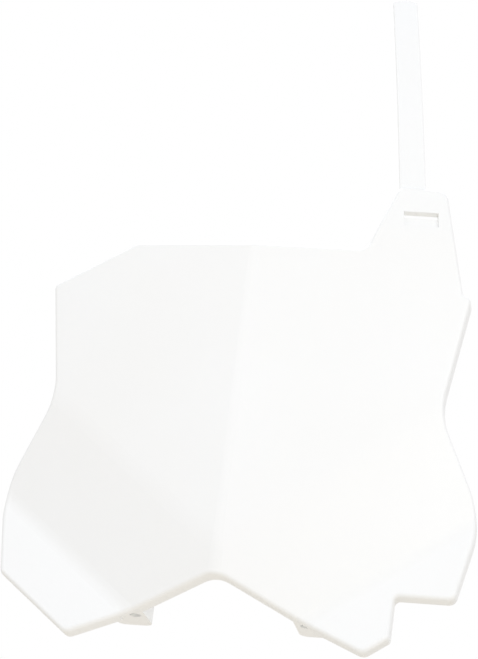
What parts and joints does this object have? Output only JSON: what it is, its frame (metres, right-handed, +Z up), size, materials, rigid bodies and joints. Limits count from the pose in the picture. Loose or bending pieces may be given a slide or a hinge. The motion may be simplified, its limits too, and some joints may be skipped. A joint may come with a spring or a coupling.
{
  "type": "racing number board",
  "caption": "Faceted V-shaped front number board with a turned-back edge, a fixing strap and slot on one ear, and bolt lugs behind the lower edge.",
  "frame": {"origin": "midway between the two bolt holes, on the flat undersides of the lugs", "axes": "+X to the right as seen from the front, +Y back towards the fork, +Z up along the bolts"},
  "size_m": [0.254, 0.05, 0.4064],
  "materials": {
    "polypropylene": "smooth white moulding, satin gloss"
  },
  "bodies": {
    "root": {"number_board": "polypropylene"}
  },
  "joints": []
}
